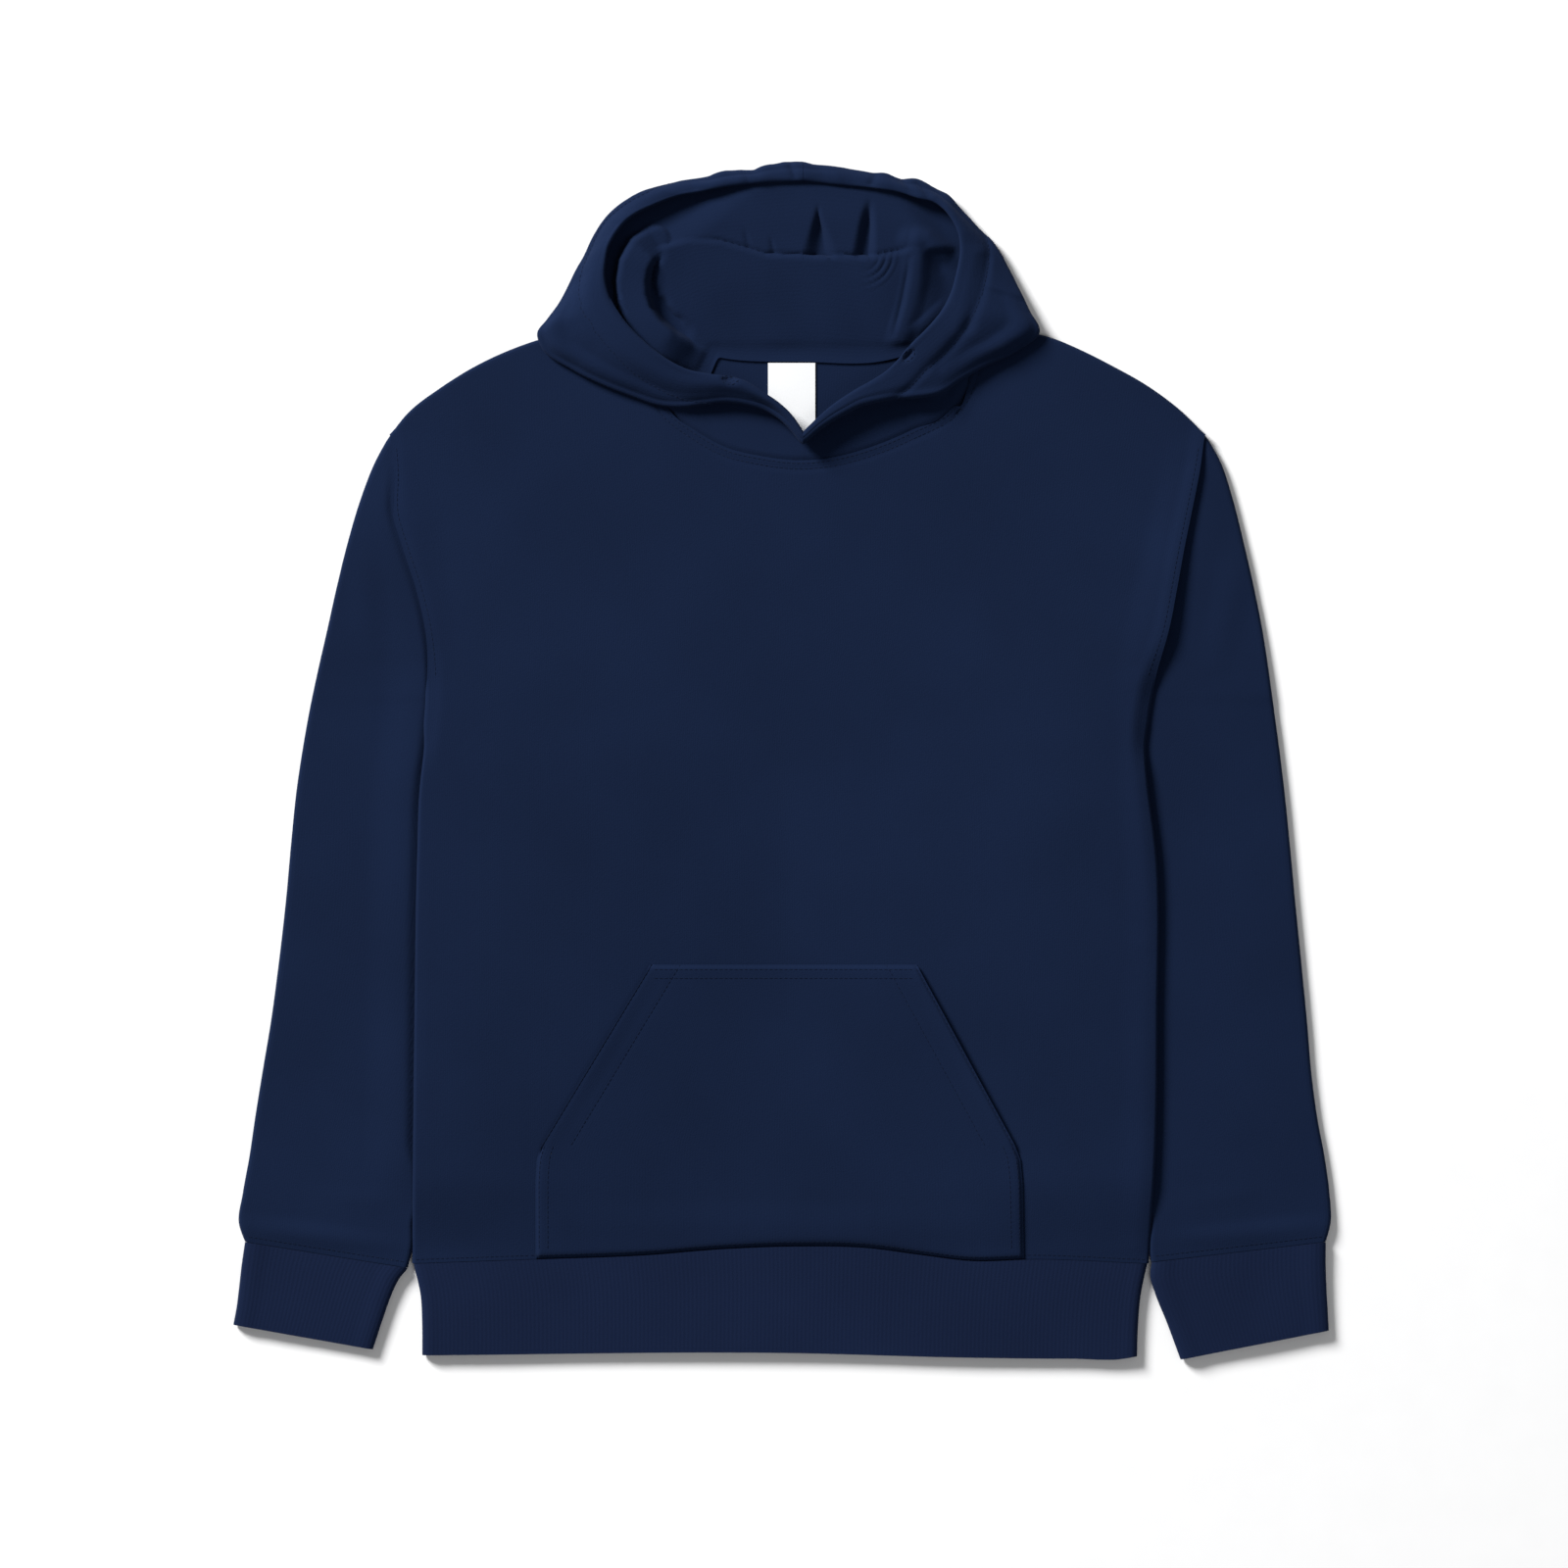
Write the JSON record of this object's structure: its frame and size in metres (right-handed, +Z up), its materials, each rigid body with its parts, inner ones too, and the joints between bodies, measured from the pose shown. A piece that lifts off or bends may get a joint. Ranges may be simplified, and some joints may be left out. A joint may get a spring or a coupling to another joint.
{
  "type": "pullover hoodie",
  "caption": "Pullover hoodie in navy fleece laid flat on its back, with a kangaroo pocket, ribbed hem and cuffs, and the hood opened out.",
  "frame": {"origin": "bottom centre of the whole garment's box, on the surface it lies on", "axes": "+Z up off the surface, +Y from the hem to the hood, +X to the right as seen from above"},
  "size_m": [0.7554, 0.8246, 0.0223],
  "materials": {
    "fleece": "matt brushed fleece",
    "rib": "matt fine rib knit",
    "label": "smooth woven tape"
  },
  "bodies": {
    "root": {"body_back": "fleece", "body_front": "fleece", "sleeve_left": "fleece", "sleeve_right": "fleece", "hood_left": "fleece", "hood_right": "fleece", "pocket": "fleece", "cuff_left": "rib", "cuff_right": "rib", "hem_band": "rib", "neck_label": "label"}
  },
  "joints": []
}
